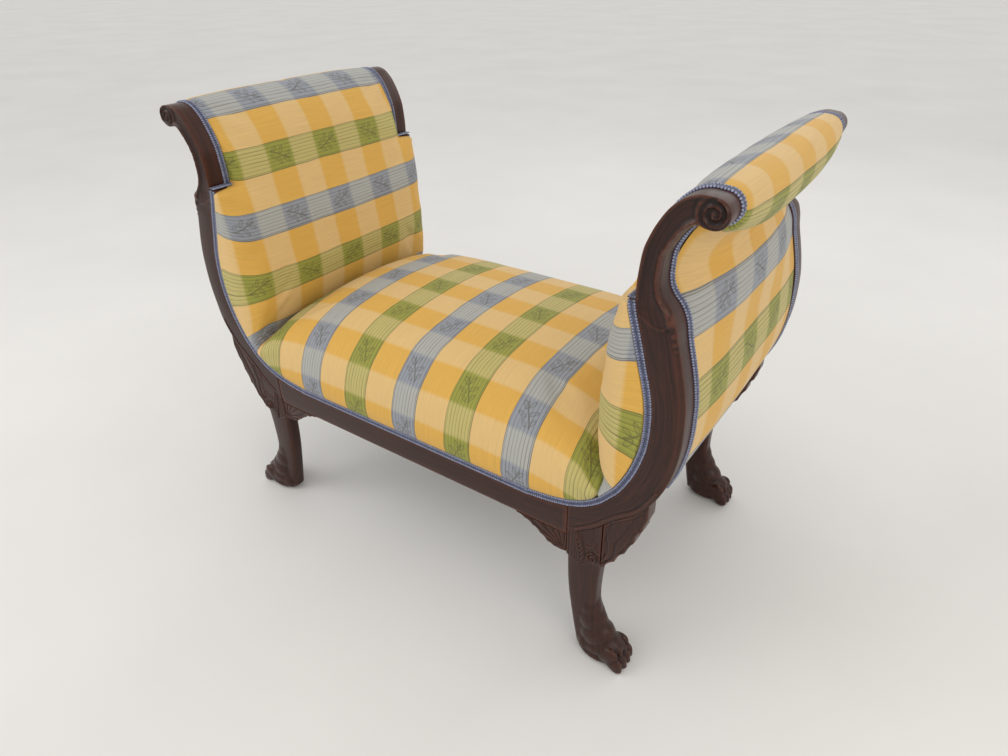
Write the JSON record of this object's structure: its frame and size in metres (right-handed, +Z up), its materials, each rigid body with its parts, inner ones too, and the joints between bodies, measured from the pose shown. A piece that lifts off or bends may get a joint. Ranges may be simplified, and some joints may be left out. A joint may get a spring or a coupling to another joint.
{
  "type": "recamier",
  "caption": "Upholstered bench with two outward-scrolled arms and no back, on a dark wood frame with carved paw-footed legs, for sitting or reclining.",
  "frame": {"origin": "on the floor under the middle of the bench, centred between the two scrolls and between the front and back stiles", "axes": "+X along the bench towards the right-hand scroll as seen from the front, -Y towards the front, +Z up"},
  "size_m": [1.2238, 0.6408, 0.9609],
  "materials": {
    "show_wood": "dark red-brown mahogany stain under satin lacquer",
    "hidden_wood": "bare sawn frame wood",
    "cover_cloth": "woven plaid of gold, cream, green and blue-grey",
    "gimp": "slate blue scalloped braid",
    "stuffing": "curled hair under cotton wadding",
    "backing_cloth": "plain jute burlap",
    "webbing": "woven jute straps",
    "steel": "plain drawn wire and zinc plated screws"
  },
  "bodies": {
    "root": {"front_seat_rail": "show_wood", "back_seat_rail": "show_wood", "left_end_rail": "show_wood", "right_end_rail": "show_wood", "seat_centre_brace": "hidden_wood", "front_left_stile": "show_wood", "front_right_stile": "show_wood", "back_left_stile": "show_wood", "back_right_stile": "show_wood", "front_left_leg": "show_wood", "front_right_leg": "show_wood", "back_left_leg": "show_wood", "back_right_leg": "show_wood", "front_left_ear": "show_wood", "front_right_ear": "show_wood", "back_left_ear": "show_wood", "back_right_ear": "show_wood", "front_left_leaf": "show_wood", "front_right_leaf": "show_wood", "back_left_leaf": "show_wood", "back_right_leaf": "show_wood", "left_roll_rail": "hidden_wood", "right_roll_rail": "hidden_wood", "left_arm_slat": "hidden_wood", "right_arm_slat": "hidden_wood", "left_tacking_rail": "hidden_wood", "right_tacking_rail": "hidden_wood", "left_outer_rail": "show_wood", "right_outer_rail": "show_wood", "corner_blocks": "hidden_wood", "corner_screws": "steel", "leg_dowels": "hidden_wood", "seat_webbing": "webbing", "seat_springs": "steel", "seat_burlap": "backing_cloth", "seat_stuffing": "stuffing", "seat_cover": "cover_cloth", "left_arm_burlap": "backing_cloth", "right_arm_burlap": "backing_cloth", "left_arm_stuffing": "stuffing", "right_arm_stuffing": "stuffing", "left_arm_cover": "cover_cloth", "right_arm_cover": "cover_cloth", "left_outer_lining": "backing_cloth", "right_outer_lining": "backing_cloth", "left_outer_wadding": "stuffing", "right_outer_wadding": "stuffing", "left_outer_cover": "cover_cloth", "right_outer_cover": "cover_cloth", "front_gimp": "gimp", "back_gimp": "gimp", "front_left_roll_gimp": "gimp", "front_right_roll_gimp": "gimp", "back_left_roll_gimp": "gimp", "back_right_roll_gimp": "gimp", "left_hem_gimp": "gimp", "right_hem_gimp": "gimp", "dust_cloth": "backing_cloth"}
  },
  "joints": []
}
